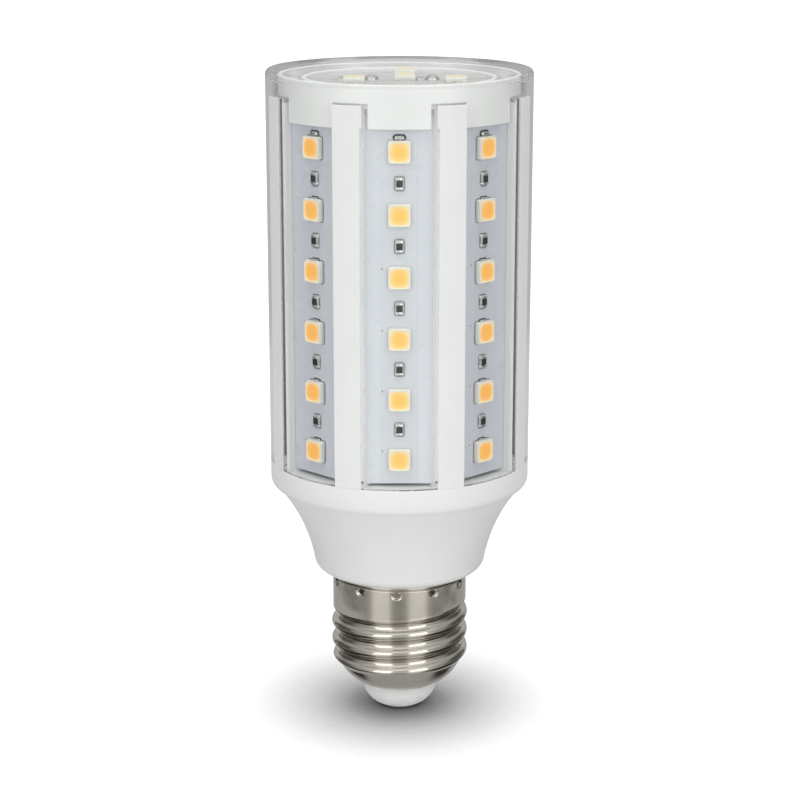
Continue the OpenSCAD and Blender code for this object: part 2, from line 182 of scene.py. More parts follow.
def on_strip(k, z0):
    """Takes a point that lies on z = 0 (x across, y up the strip, z outwards) to the front of strip k."""
    a = k * STEP
    ca, sa = math.cos(a), math.sin(a)

    def put(p):
        x, y, z = p[0], -BOARD_A - p[2], z0 + p[1]
        return (x * ca - y * sa, x * sa + y * ca, z)

    return put


def on_top(cx, cy, turn):
    ca, sa = math.cos(turn), math.sin(turn)

    def put(p):
        return (cx + p[0] * ca - p[1] * sa, cy + p[0] * sa + p[1] * ca, TOP_FACE + p[2])

    return put


TOP_PLACES = [on_top(x, y, 0) for x, y in ((1.0, -0.7), (1.0, 10.0), (10.2, -5.2), (-8.2, -5.2))]
TOP_CHIPS = [on_top(x, y, 0) for x, y in ((-10.7, -1.5), (3.85, -0.8))]


def gather(name, makers, places, angle=35.0, with_uv=False):
    """One piece out of copies of small shapes. Each maker gives (verts, faces), laid on z = 0."""
    verts, faces, uv = [], [], []
    for put in places:
        for make in makers:
            v, f = make
            base = len(verts)
            verts += [put(p) for p in v]
            uv += [(p[0], p[1]) for p in v]
            faces += [tuple(i + base for i in face) for face in f]
    return new_object(name, verts, faces, angle, uv if with_uv else None)


def refine(node, width, segments=2, angle=30.0):
    """A copy of a CAD node's mesh with its flat faces whole again and its edges eased."""
    src = NODES[node]
    bm = bmesh.new()
    bm.from_mesh(src.data)
    bmesh.ops.remove_doubles(bm, verts=bm.verts, dist=2e-6)
    bmesh.ops.dissolve_limit(bm, angle_limit=math.radians(0.5), verts=bm.verts, edges=bm.edges)
    edges = [e for e in bm.edges if len(e.link_faces) == 2 and e.calc_face_angle(0) > math.radians(angle)]
    bmesh.ops.bevel(bm, geom=edges, offset=width * MM, offset_type="OFFSET", segments=segments, profile=0.5,
                    affect="EDGES", clamp_overlap=True)
    bmesh.ops.recalc_face_normals(bm, faces=bm.faces)
    mesh = bpy.data.meshes.new(node + "_fine")
    bm.to_mesh(mesh)
    bm.free()
    mesh.shade_smooth()
    mesh.set_sharp_from_angle(angle=math.radians(40))
    ob = bpy.data.objects.new(node + "_fine", mesh)
    bpy.context.scene.collection.objects.link(ob)
    # broad faces keep their own direction, and only the eased edges turn
    mod = ob.modifiers.new("weigh", "WEIGHTED_NORMAL")
    mod.keep_sharp = True
    apply_modifiers(ob)
    return ob


def apply_modifiers(ob):
    bpy.context.view_layer.update()
    dg = bpy.context.evaluated_depsgraph_get()
    mesh = bpy.data.meshes.new_from_object(ob.evaluated_get(dg))
    ob.modifiers.clear()
    old = ob.data
    ob.data = mesh
    bpy.data.meshes.remove(old)


def cut(ob, cutter, op="DIFFERENCE"):
    """Applies one exact Boolean and removes the cutter."""
    mod = ob.modifiers.new("cut", "BOOLEAN")
    mod.operation = op
    mod.object = cutter
    mod.solver = "EXACT"
    apply_modifiers(ob)
    data = cutter.data
    bpy.data.objects.remove(cutter)
    bpy.data.meshes.remove(data)


# ---------------------------------------------------------------- material helpers
def material(name):
    m = bpy.data.materials.new(name)
    m.use_nodes = True
    nt = m.node_tree
    return m, nt, nt.nodes["Principled BSDF"]


def node(nt, kind, **props):
    n = nt.nodes.new(kind)
    for k, v in props.items():
        if hasattr(n, k):
            setattr(n, k, v)
        else:
            n.inputs[k.replace("_", " ")].default_value = v
    return n


def coords(nt, scale=(1, 1, 1), rot=(0, 0, 0), which="Object"):
    tc = nt.nodes.new("ShaderNodeTexCoord")
    mp = nt.nodes.new("ShaderNodeMapping")
    mp.inputs["Scale"].default_value = scale
    mp.inputs["Rotation"].default_value = rot
    nt.links.new(tc.outputs[which], mp.inputs["Vector"])
    return mp.outputs["Vector"]


def noise(nt, vec, scale, detail=3.0, rough=0.5):
    n = nt.nodes.new("ShaderNodeTexNoise")
    n.inputs["Scale"].default_value = scale
    n.inputs["Detail"].default_value = detail
    n.inputs["Roughness"].default_value = rough
    nt.links.new(vec, n.inputs["Vector"])
    return n.outputs["Fac"]


def ramp(nt, fac, stops, interp="LINEAR"):
    r = nt.nodes.new("ShaderNodeValToRGB")
    r.color_ramp.interpolation = interp
    el = r.color_ramp.elements
    while len(el) > 1:
        el.remove(el[-1])
    el[0].position, el[0].color = stops[0][0], (*stops[0][1], 1)
    for p, c in stops[1:]:
        e = el.new(p)
        e.color = (*c, 1)
    nt.links.new(fac, r.inputs["Fac"])
    return r.outputs["Color"]


def span(nt, fac, lo, hi, a=0.0, b=1.0):
    n = nt.nodes.new("ShaderNodeMapRange")
    n.inputs["From Min"].default_value = a
    n.inputs["From Max"].default_value = b
    n.inputs["To Min"].default_value = lo
    n.inputs["To Max"].default_value = hi
    nt.links.new(fac, n.inputs["Value"])
    return n.outputs["Result"]


def mathn(nt, op, a, b=None):
    n = nt.nodes.new("ShaderNodeMath")
    n.operation = op
    for i, v in enumerate((a, b)):
        if v is None:
            continue
        if isinstance(v, (int, float)):
            n.inputs[i].default_value = v
        else:
            nt.links.new(v, n.inputs[i])
    return n.outputs[0]


def bump(nt, bsdf, height, strength, distance):
    b = nt.nodes.new("ShaderNodeBump")
    b.inputs["Strength"].default_value = strength
    b.inputs["Distance"].default_value = distance
    nt.links.new(height, b.inputs["Height"])
    nt.links.new(b.outputs["Normal"], bsdf.inputs["Normal"])
    return b


def moulded(name, colour, rough, spread=0.012, texture=2200.0, depth=4e-6, ior=1.46):
    """A moulded surface: faint uneven tone, a fine satin texture and uneven gloss."""
    m, nt, b = material(name)
    v = coords(nt)
    lo = tuple(max(0, c - spread) for c in colour)
    hi = tuple(min(1, c + spread) for c in colour)
    nt.links.new(ramp(nt, noise(nt, v, 90.0, 4.0), [(0.3, lo), (0.7, hi)]), b.inputs["Base Color"])
    nt.links.new(span(nt, noise(nt, v, 260.0, 3.0), rough - 0.05, rough + 0.06, 0.3, 0.7), b.inputs["Roughness"])
    bump(nt, b, noise(nt, v, texture, 2.0), 0.35, depth)
    b.inputs["IOR"].default_value = ior
    return m


def paint(ob, mat, slot):
    ob.data.materials.clear()
    ob.data.materials.append(mat)


def piece(ob, mat, slot, *nodes):
    paint(ob, mat, slot)
    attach(ob, "root")
    if nodes:
        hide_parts(*nodes)
    return ob


# ---------------------------------------------------------------- materials
WHITE = moulded("white_moulding", (0.82, 0.82, 0.815), 0.34)
RING_WHITE = moulded("ring_moulding", (0.93, 0.93, 0.925), 0.4)
INSULATOR = moulded("insulator_moulding", (0.80, 0.80, 0.79), 0.38, texture=1500.0)
_skin = INSULATOR.node_tree.nodes["Principled BSDF"]
_skin.inputs["Subsurface Weight"].default_value = 0.7
_skin.inputs["Subsurface Radius"].default_value = (1.0, 1.0, 1.0)
_skin.inputs["Subsurface Scale"].default_value = 0.004
# painted glow: the insulator gives off a little light of its own, which lifts its shaded sides
_skin.inputs["Emission Color"].default_value = (1.0, 1.0, 1.0, 1)
_skin.inputs["Emission Strength"].default_value = 0.09


def make_nickel(name, colour, rough, lines):
    """Plated drawn sheet: fine lines round the axis, cloudy gloss and a few soft tone changes."""
    m, nt, b = material(name)
    b.inputs["Metallic"].default_value = 1.0
    v = coords(nt)
    lo = tuple(c * 0.94 for c in colour)
    hi = tuple(min(1, c * 1.05) for c in colour)
    nt.links.new(ramp(nt, noise(nt, v, 160.0, 4.0), [(0.3, lo), (0.7, hi)]), b.inputs["Base Color"])
    drawn = noise(nt, coords(nt, (1, 1, 28)), 420.0, 3.0)
    cloud = span(nt, noise(nt, v, 300.0, 3.0), rough - 0.05, rough + 0.07, 0.3, 0.7)
    sep = nt.nodes.new("ShaderNodeSeparateXYZ")
    nt.links.new(v, sep.inputs[0])
    # burnished over the thread, satin on the skirt above it and on the dome below
    skirt = span(nt, sep.outputs[2], 0.4, 1.0, 0.0212, 0.0228)
    dome = span(nt, sep.outputs[2], 1.3, 0.0, 0.0082, 0.0092)
    nt.links.new(mathn(nt, "MULTIPLY", cloud, mathn(nt, "ADD", skirt, dome)), b.inputs["Roughness"])
    bump(nt, b, drawn, 0.25, lines)
    return m


NICKEL = make_nickel("nickel_plate", (0.64, 0.605, 0.535), 0.15, 1.5e-6)
TIN = make_nickel("tinned_contact", (0.62, 0.61, 0.58), 0.3, 2e-6)


def make_clear():
    """Clear moulded plastic that lets lamps and scattered light through unbent."""
    m, nt, b = material("clear_moulding")
    b.inputs["Base Color"].default_value = (0.975, 0.985, 0.98, 1)
    b.inputs["Transmission Weight"].default_value = 1.0
    b.inputs["IOR"].default_value = 1.49
    v = coords(nt)
    nt.links.new(span(nt, noise(nt, v, 120.0, 3.0), 0.0, 0.008, 0.35, 0.7), b.inputs["Roughness"])
    bump(nt, b, noise(nt, v, 60.0, 1.0), 0.02, 1e-5)
    out = nt.nodes["Material Output"]
    lp = nt.nodes.new("ShaderNodeLightPath")
    both = mathn(nt, "MAXIMUM", lp.outputs["Is Shadow Ray"], lp.outputs["Is Diffuse Ray"])
    tr = nt.nodes.new("ShaderNodeBsdfTransparent")
    tr.inputs["Color"].default_value = (0.96, 0.965, 0.96, 1)
    mix = nt.nodes.new("ShaderNodeMixShader")
    nt.links.new(both, mix.inputs[0])
    nt.links.new(b.outputs[0], mix.inputs[1])
    nt.links.new(tr.outputs[0], mix.inputs[2])
    nt.links.new(mix.outputs[0], out.inputs["Surface"])
    return m


CLEAR = make_clear()


def make_clear_plate(name, tone, cover):
    """A thin part of the same moulding, seen through unbent, with a polished reflection of strength cover."""
    m, nt, b = material(name)
    b.inputs["Base Color"].default_value = (*tone, 1)
    b.inputs["Metallic"].default_value = 1.0
    nt.links.new(span(nt, noise(nt, coords(nt), 120.0, 3.0), 0.01, 0.03, 0.35, 0.7), b.inputs["Roughness"])
    b.inputs["Alpha"].default_value = cover
    out = nt.nodes["Material Output"]
    lp = nt.nodes.new("ShaderNodeLightPath")
    both = mathn(nt, "MAXIMUM", lp.outputs["Is Shadow Ray"], lp.outputs["Is Diffuse Ray"])
    tr = nt.nodes.new("ShaderNodeBsdfTransparent")
    tr.inputs["Color"].default_value = (0.96, 0.965, 0.96, 1)
    mix = nt.nodes.new("ShaderNodeMixShader")
    nt.links.new(both, mix.inputs[0])
    nt.links.new(b.outputs[0], mix.inputs[1])
    nt.links.new(tr.outputs[0], mix.inputs[2])
    nt.links.new(mix.outputs[0], out.inputs["Surface"])
    return m


CLEAR_PLATE = make_clear_plate("clear_plate", (0.98, 0.985, 0.98), 0.15)
CLEAR_INNER = make_clear_plate("clear_inner", (0.98, 0.985, 0.98), 0.05)


def make_clear_edge():
    """The rounded edge of the same moulding: clear face on, greyed at a shallow angle and from inside the plastic."""
    m, nt, b = material("clear_edge")
    b.inputs["Base Color"].default_value = (0.56, 0.565, 0.56, 1)
    b.inputs["Metallic"].default_value = 1.0
    nt.links.new(span(nt, noise(nt, coords(nt), 120.0, 3.0), 0.26, 0.32, 0.35, 0.7), b.inputs["Roughness"])
    out = nt.nodes["Material Output"]
    lp = nt.nodes.new("ShaderNodeLightPath")
    both = mathn(nt, "MAXIMUM", lp.outputs["Is Shadow Ray"], lp.outputs["Is Diffuse Ray"])
    fr = nt.nodes.new("ShaderNodeFresnel")
    fr.inputs["IOR"].default_value = 1.49
    geo = nt.nodes.new("ShaderNodeNewGeometry")
    within = mathn(nt, "MULTIPLY", geo.outputs["Backfacing"], 0.6)
    seen = mathn(nt, "MINIMUM", mathn(nt, "ADD", fr.outputs[0], within), 0.85)
    tr = nt.nodes.new("ShaderNodeBsdfTransparent")
    tr.inputs["Color"].default_value = (0.96, 0.965, 0.96, 1)
    mix = nt.nodes.new("ShaderNodeMixShader")
    nt.links.new(mathn(nt, "MULTIPLY", seen, mathn(nt, "SUBTRACT", 1.0, both)), mix.inputs[0])
    nt.links.new(tr.outputs[0], mix.inputs[1])
    nt.links.new(b.outputs[0], mix.inputs[2])
    nt.links.new(mix.outputs[0], out.inputs["Surface"])
    return m


CLEAR_EDGE = make_clear_edge()


def make_board(name, colour, track, turn):
    """Solder mask over copper: the tracks show as faint raised fields with a slightly different tone."""
    m, nt, b = material(name)
    v = coords(nt, (1, 1, 1), (0, 0, -turn))
    sep = nt.nodes.new("ShaderNodeSeparateXYZ")
    nt.links.new(v, sep.inputs[0])
    x, z = sep.outputs[0], sep.outputs[2]
    # the copper fields run down both sides and cross between the packages
    side = mathn(nt, "GREATER_THAN", mathn(nt, "ABSOLUTE", x), 0.0031)
    gap = mathn(nt, "LESS_THAN", mathn(nt, "ABSOLUTE", mathn(nt, "SUBTRACT", mathn(nt, "ABSOLUTE", x), 0.0031)), 0.00012)
    cloud = noise(nt, v, 140.0, 3.0)
    base = ramp(nt, cloud, [(0.3, tuple(c * 0.985 for c in colour)), (0.7, tuple(min(1, c * 1.012) for c in colour))])
    mix = nt.nodes.new("ShaderNodeMix")
    mix.data_type = "RGBA"
    mix.inputs["B"].default_value = (*track, 1)
    nt.links.new(base, mix.inputs["A"])
    nt.links.new(mathn(nt, "MULTIPLY", gap, 0.25), mix.inputs["Factor"])
    nt.links.new(mix.outputs["Result"], b.inputs["Base Color"])
    nt.links.new(span(nt, noise(nt, v, 500.0, 3.0), 0.26, 0.36, 0.3, 0.7), b.inputs["Roughness"])
    h = mathn(nt, "ADD", mathn(nt, "MULTIPLY", noise(nt, v, 1500.0, 2.0), 0.12), mathn(nt, "MULTIPLY", mathn(nt, "SUBTRACT", 1.0, gap), 0.8))
    bump(nt, b, h, 0.3, 1.2e-5)
    b.inputs["IOR"].default_value = 1.5
    return m


# painted light: the front strip's mask is given a lighter tone than the other seven strips, for the light that falls on
# it
BOARD = [make_board(f"strip_mask_{k + 1}", (0.74, 0.765, 0.815) if k == 0 else (0.675, 0.69, 0.755), (0.6, 0.625, 0.68), k * STEP)
         for k in range(STRIPS)]
TOP_BOARD = make_board("top_mask", (0.58, 0.585, 0.58), (0.5, 0.51, 0.52), 0.0)


def radial(nt, squash=1.0):
    """Distance in mm from the middle of a light package, a little squared off like its window."""
    uv = nt.nodes.new("ShaderNodeUVMap")
    uv.uv_map = "local_mm"
    sep = nt.nodes.new("ShaderNodeSeparateXYZ")
    nt.links.new(uv.outputs[0], sep.inputs[0])
    px = mathn(nt, "POWER", mathn(nt, "ABSOLUTE", sep.outputs[0]), 2.6)
    py = mathn(nt, "POWER", mathn(nt, "ABSOLUTE", sep.outputs[1]), 2.6)
    return mathn(nt, "POWER", mathn(nt, "ADD", px, py), 1 / 2.6)


def make_phosphor(name, glow, deep=1.0):
    m, nt, b = material(name)
    d = radial(nt)
    grain = noise(nt, coords(nt), 5200.0, 2.0, 0.7)
    d2 = mathn(nt, "ADD", d, span(nt, grain, -0.09, 0.09, 0.3, 0.7))
    col = ramp(nt, span(nt, d2, 0.0, 1.0, 0.0, 1.75),
               [(0.0, (0.98, 0.61 * deep, 0.11 * deep)), (0.5, (0.98, 0.64 * deep, 0.14 * deep)), (0.8, (0.97, 0.7 * deep, 0.25 * deep)), (1.0, (0.96, 0.83, 0.5))])
    nt.links.new(col, b.inputs["Base Color"])
    nt.links.new(span(nt, grain, 0.3, 0.45, 0.3, 0.7), b.inputs["Roughness"])
    b.inputs["Coat Weight"].default_value = 0.5
    b.inputs["Coat Roughness"].default_value = 0.1
    # painted glow: the phosphor gives off a little light of its own, though the package is not lit, which brightens it
    # and warms it towards orange
    b.inputs["Emission Color"].default_value = (1.0, 0.42, 0.06, 1)
    b.inputs["Emission Strength"].default_value = glow
    bump(nt, b, grain, 0.3, 1e-5)
    return m


# lit and shaded copies of one gel: front strip, top board and side strips differ in painted glow and depth of colour,
# weakest and yellowest on top, strongest and most orange on the sides
PHOSPHOR = make_phosphor("phosphor_gel", 0.16)
PHOSPHOR_TOP = make_phosphor("phosphor_gel_top", 0.04, 1.25)
PHOSPHOR_SIDE = make_phosphor("phosphor_gel_side", 0.3, 0.8)
LED_BODY = moulded("package_cup", (0.92, 0.90, 0.83), 0.4, spread=0.015, texture=4200.0)


def make_solder(name, rough, grain):
    m, nt, b = material(name)
    b.inputs["Metallic"].default_value = 1.0
    v = coords(nt)
    nt.links.new(ramp(nt, noise(nt, v, 1800.0, 3.0), [(0.3, (0.66, 0.66, 0.65)), (0.7, (0.86, 0.86, 0.85))]), b.inputs["Base Color"])
    nt.links.new(span(nt, noise(nt, v, 2600.0, 3.0), rough, rough * 2.1, 0.3, 0.7), b.inputs["Roughness"])
    bump(nt, b, noise(nt, v, 2400.0, 3.0), grain, 2e-5)
    return m


SOLDER = make_solder("solder", 0.16, 0.5)
SOLDER_DOME = make_solder("solder_dome", 0.07, 0.15)
# painted shade round the solder joints, in the same near-black as the printed dots
SHADE_AND_PRINT = moulded("painted_shade_and_print", (0.045, 0.042, 0.045), 0.3, spread=0.02, texture=3000.0)
# painted shade: a dark line laid round each package and each resistor on the side strips
PAINTED_SHADE = moulded("painted_shade_line", (0.2, 0.19, 0.21), 0.4, spread=0.03, texture=3000.0)
# painted shade: the grey band round each resistor on the front strip
PAINTED_SHADE_GREY = moulded("resistor_shade_grey", (0.38, 0.37, 0.39), 0.4, spread=0.03, texture=3000.0)
# painted shade: the pale line round each package on the front strip
PAINTED_SHADE_PALE = moulded("painted_shade_line_pale", (0.68, 0.66, 0.65), 0.4, spread=0.03, texture=3000.0)
CERAMIC = moulded("resistor_glaze", (0.022, 0.022, 0.024), 0.24, spread=0.006, texture=5200.0, depth=6e-6)
CHIP = moulded("moulding_compound", (0.03, 0.03, 0.032), 0.5, spread=0.008, texture=3600.0, depth=1e-5)
FERRITE = moulded("ferrite", (0.07, 0.07, 0.075), 0.62, spread=0.02, texture=2600.0, depth=2e-5)
FILM = moulded("film_epoxy", (0.42, 0.07, 0.03), 0.22, spread=0.03, texture=900.0, depth=1.5e-5)
FUSE = moulded("fuse_enamel", (0.12, 0.3, 0.16), 0.55, spread=0.02, texture=2400.0, depth=1e-5)
SLEEVE = moulded("capacitor_sleeve", (0.025, 0.03, 0.045), 0.28, spread=0.006, texture=1100.0, depth=6e-6)
RED = moulded("lead_red", (0.5, 0.03, 0.02), 0.36, spread=0.02)
BLACK = moulded("lead_black", (0.02, 0.02, 0.022), 0.36, spread=0.006)
GREEN = make_board("driver_mask", (0.03, 0.17, 0.07), (0.02, 0.11, 0.045), 0.0)

# ---------------------------------------------------------------- screw shell
DEPTH = THREAD_R - ROOT_R
HALF = PITCH / 2
RHO = (DEPTH * DEPTH + HALF * HALF) / (4 * DEPTH)


def thread_at(z, phi):
    s = (z - CREST_Z) / PITCH - phi / (2 * math.pi) + 0.5
    d = abs(s - math.floor(s) - 0.5) * PITCH
    if d < HALF / 2:
        return THREAD_R - RHO + math.sqrt(RHO * RHO - d * d)
    return ROOT_R + RHO - math.sqrt(RHO * RHO - (HALF - d) ** 2)


def dome_at(z):
    return 12.6 if z >= 14.1 else 12.6 * (1 - ((14.1 - z) / 10.2) ** 2.5) ** 0.4


def dimple_at(z, phi):
    best = 1e9
    base = math.radians(-2.6)
    step = 2 * math.pi / DIMPLES
    k = round((phi - base) / step)
    dphi = phi - base - k * step
    d = math.hypot(dphi * SKIRT_R, z - 26.2)
    r = 0.0
    if d < 0.9:
        r = max(0.0, math.sqrt(max(0.0, 0.96 ** 2 - d * d)) - 0.45)
        r *= smooth01((0.9 - d) / 0.12)
    return r


def skirt_at(z):
    pts = ((22.4, 0.0), (26.9, 0.0), (26.98, -0.03), (27.03, -0.12), (27.08, -0.12), (27.14, -0.05), (27.2, -0.02),
           (27.72, -0.02), (27.82, -0.04), (27.9, -0.09), (27.95, -0.17))
    for (z0, r0), (z1, r1) in zip(pts, pts[1:]):
        if z <= z1:
            return SKIRT_R + r0 + (r1 - r0) * (z - z0) / (z1 - z0)
    return SKIRT_R - 0.17


def shell_at(z, phi):
    if z > 22.4:
        return skirt_at(z) - dimple_at(z, phi)
    dome = dome_at(z)
    t = dome + (thread_at(z, phi) - dome) * smooth01((z - 9) / 1.8)
    ze = 21.3 + 0.8 * math.sin(phi)
    return SKIRT_R + (t - SKIRT_R) * smooth01((ze - z) / 0.9)


def screw_shell():
    n = 320
    zs = [5.0, 5.03, 5.1, 5.2, 5.35, 5.55, 5.8, 6.1, 6.5, 6.95, 7.4, 7.9, 8.4, 8.8]
    z = 9.0
    while z < 22.3:
        zs.append(z)
        z += 0.14
    zs += [22.45, 23.4, 24.4, 25.1]
    z = 25.2
    while z < 26.9:
        zs.append(z)
        z += 0.085
    zs += [26.9, 26.98, 27.03, 27.08, 27.14, 27.2, 27.45, 27.72, 27.82, 27.9, 27.95]
    inner = [(SKIRT_R - 0.35, 27.95), (SKIRT_R - 0.35, 22.4), (11.78, 21.6), (11.78, 10.5)]
    verts, faces = [], []
    for z in zs:
        for i in range(n):
            phi = 2 * math.pi * i / n
            r = shell_at(z, phi)
            verts.append((r * math.sin(phi), -r * math.cos(phi), z))
    rows = len(zs)
    for r, z in inner + [(dome_at(zz) - 0.35, zz + 0.1) for zz in (8.5, 7.2, 6.2, 5.7, 5.35)]:
        for i in range(n):
            phi = 2 * math.pi * i / n
            verts.append((r * math.sin(phi), -r * math.cos(phi), z))
        rows += 1
    for j in range(rows):
        j2 = (j + 1) % rows
        for i in range(n):
            i2 = (i + 1) % n
            faces.append((j * n + i, j * n + i2, j2 * n + i2, j2 * n + i))
    return new_object("cap_shell", verts, faces, 50.0)


piece(screw_shell(), NICKEL, "cap_nickel", "screw_shell")

# ---------------------------------------------------------------- insulator and contact
v, f = lathe(
    [(1.6, 0.62), (4.5, 0.62), (4.62, 0.63)] + [(5.0, 0.8), (5.3, 1.0), (5.62, 1.28), (5.9, 1.6), (6.25, 1.98), (6.55, 2.4), (6.78, 2.84),
     (6.95, 3.3), (6.99, 3.85), (7.0, 4.4), (7.0, 5.45), (8.3, 6.35), (8.3, 7.4), (3.2, 7.4), (3.2, 5.6), (1.6, 5.6)], 160)
piece(new_object("cap_insulator", v, f, 40), INSULATOR, "insulator", "base_insulator")
v, f = lathe(
    [(0, 0), (3.1, 0), (3.4, 0.01), (3.7, 0.06), (3.9, 0.12), (4.12, 0.25), (4.25, 0.38), (4.3, 0.5), (4.3, 0.6), (1.58, 0.6), (1.58, 5.6),
     (2.4, 5.6), (2.4, 5.95), (0.7, 5.95), (0.7, 1.6), (0, 1.6)], 96)
piece(new_object("cap_contact", v, f, 40), TIN, "contact", "centre_contact")

# ---------------------------------------------------------------- housing
outer = (
    [(22.05, 50.33), (24.28, 50.33), (24.4, 50.31), (24.48, 50.24), (24.5, 50.12), (24.5, 46.9), (24.47, 46.6), (24.42, 46.3), (24.34, 46.1), (24.24, 45.92),
     (24.1, 45.76), (23.92, 45.62), (23.72, 45.54)]
    + bez((23.5, 45.5), (18.14, 39.2), (16.4, 30.5), 60)
    + [(16.35, 30.15), (16.26, 29.82), (16.13, 29.54), (15.95, 29.27), (15.74, 29.03), (15.48, 28.82), (15.2, 28.64), (14.9, 28.5), (14.6, 28.39), (14.3, 28.3),
       (13.95, 28.22), (13.6, 28.15), (13.0, 28.11), (12.25, 28.1), (12.25, 23.4), (11.85, 23.0), (10.6, 23.0), (10.6, 29.0)]
    + bez((14.5, 31), (16.2, 39.4), (21, 45.8), 24)
    + [(21, 46.3), (22.05, 46.3)]
)
v, f = lathe(outer, 256)
piece(new_object("housing_cup", v, f, 40), WHITE, "white_plastic", "lower_housing")

# ---------------------------------------------------------------- rib cage and top ring
cage = refine("rib_cage", 0.16, 3)
piece(cage, WHITE, "white_plastic", "rib_cage")
rng = refine("top_ring", 0.08, 2)
piece(rng, RING_WHITE, "white_plastic", "top_ring")


# ---------------------------------------------------------------- clear cover
EDGE_Z = 122.1


def clear_cover():
    top = arc(BODY_R - 0.9, TOP_Z - 0.9, 0.9, 0, 90, 8)
    fil = arc(BODY_R - WALL - 0.3, PLATE_Z - 0.3, 0.3, 90, 0, 5)
    prof = ([(BODY_R - WALL, RIM_Z)] + [(BODY_R - 0.08, RIM_Z), (BODY_R, RIM_Z + 0.08), (BODY_R, 85.0), (BODY_R, EDGE_Z)] + top
            + [(0, TOP_Z), (0, PLATE_Z)] + fil + [(BODY_R - WALL, EDGE_Z - 0.2), (BODY_R - WALL, 85.0)])
    v, f = lathe(prof, 288)
    ob = new_object("cover_clear", v, f, 30)
    for k in range(STRIPS):
        a = (k + 0.5) * STEP
        h = RIB_W / 2 + 0.05
        pts = [(-h, -26.0), (h, -26.0), (h, -20.5), (-h, -20.5)]
        lo = [(x * math.cos(a) - y * math.sin(a), x * math.sin(a) + y * math.cos(a), RIM_Z - 1) for x, y in pts]
        hi = [(x, y, RIB_TOP_Z + 0.05) for x, y, _ in lo]
        v, f = loft([lo, hi])
        cut(ob, new_object("cutter", v, f, 30))
    bm = bmesh.new()
    bm.from_mesh(ob.data)
    bmesh.ops.remove_doubles(bm, verts=bm.verts, dist=1e-7)
    bm.to_mesh(ob.data)
    bm.free()
    ob.data.shade_smooth()
    ob.data.set_sharp_from_angle(angle=math.radians(30))
    return ob


cover = piece(clear_cover(), CLEAR, "clear_plastic", "clear_cover")
cover.data.materials.append(CLEAR_PLATE)
cover.data.materials.append(CLEAR_EDGE)
cover.data.materials.append(CLEAR_INNER)
for f in cover.data.polygons:
    zs = [cover.data.vertices[i].co.z for i in f.vertices]
    if min(zs) > (EDGE_Z - 0.21) / 1000:
        inner = math.hypot(f.center.x, f.center.y) < (BODY_R - WALL + 0.02) / 1000
        f.material_index = 3 if inner else 2
    if max(zs) - min(zs) < 1e-6 and min(abs(zs[0] - TOP_Z / 1000), abs(zs[0] - PLATE_Z / 1000)) < 1e-6:
        f.material_index = 1
        f.use_smooth = False

# ---------------------------------------------------------------- strips
for k in range(STRIPS):
    b = refine(f"strip_board_{k + 1}", 0.06, 1)
    piece(b, BOARD[k], "strip_mask", f"strip_board_{k + 1}")


def led_cup():
    hx, hy = 1.975, 2.025
    return loft([
        ring(hx - 0.12, hy - 0.12, 0.3, 0.01),
        ring(hx - 0.12, hy - 0.12, 0.3, 0.2),
        ring(hx - 0.03, hy - 0.03, 0.36, 0.2),
        ring(hx, hy, 0.4, 0.24),
        ring(hx - 0.01, hy - 0.01, 0.4, 0.62),
        ring(hx - 0.05, hy - 0.05, 0.42, 0.96),
        ring(hx - 0.09, hy - 0.09, 0.42, 1.05),
        ring(hx - 0.15, hy - 0.15, 0.42, 1.08),
        ring(hx - 0.23, hy - 0.23, 0.8, 1.08),
        ring(hx - 0.27, hy - 0.27, 0.8, 1.05),
        ring(hx - 0.42, hy - 0.42, 0.78, 0.72),
    ])


def led_gel():
    hx, hy = 1.975, 2.025
    return loft([
        ring(hx - 0.44, hy - 0.44, 0.78, 0.735),
        ring(hx - 0.28, hy - 0.28, 0.8, 1.04),
        ring(hx - 0.38, hy - 0.38, 0.8, 1.01),
        ring(hx - 0.7, hy - 0.7, 0.74, 0.985),
        ring(hx - 1.1, hy - 1.1, 0.6, 0.972),
        ring(hx - 1.55, hy - 1.55, 0.35, 0.968),
    ])


def fillet(w, h, y, z):
    """A solder mound of w by h on the board, about y, with steep rounded sides."""
    r = min(w, h) / 2 - 0.01
    return loft([
        ring(w / 2, h / 2, r, 0.0, 0, y),
        ring(w / 2 - 0.03, h / 2 - 0.03, r, 0.3 * z, 0, y),
        ring(w / 2 - 0.12, h / 2 - 0.1, r, 0.7 * z, 0, y),
        ring(w / 2 - 0.26, h / 2 - 0.18, r, 0.94 * z, 0, y),
        ring(w / 2 - 0.42, max(0.04, h / 2 - 0.3), r, z, 0, y),
    ])


def resistor_body():
    return loft([ring(0.55, 0.62, 0.08, 0.04), ring(0.55, 0.62, 0.08, 0.46), ring(0.5, 0.58, 0.08, 0.52)])


def joined(shapes):
    out_v, out_f = [], []
    for v, f in shapes:
        base = len(out_v)
        out_v += v
        out_f += [tuple(i + base for i in face) for face in f]
    return out_v, out_f


def resistor_ends():
    shapes = []
    for s in (-1, 1):
        # the plated end, and the solder that climbs its end face
        shapes.append(loft([ring(0.6, 0.22, 0.08, 0.03, 0, s * 0.8), ring(0.6, 0.22, 0.08, 0.5, 0, s * 0.8), ring(0.55, 0.17, 0.08, 0.56, 0, s * 0.8)]))
        shapes.append(loft([ring(0.84, 0.4, 0.3, 0.0, 0, s * 0.86), ring(0.8, 0.36, 0.3, 0.08, 0, s * 0.86), ring(0.72, 0.29, 0.24, 0.22, 0, s * 0.87),
                            ring(0.63, 0.2, 0.16, 0.38, 0, s * 0.88), ring(0.55, 0.1, 0.09, 0.45, 0, s * 0.88)]))
    # the plated edges beside the glaze
    for s in (-1, 1):
        shapes.append(loft([ring(0.13, 0.66, 0.06, 0.0, s * 0.66, 0), ring(0.12, 0.64, 0.06, 0.3, s * 0.64, 0), ring(0.06, 0.6, 0.04, 0.44, s * 0.6, 0)]))
    return joined(shapes)


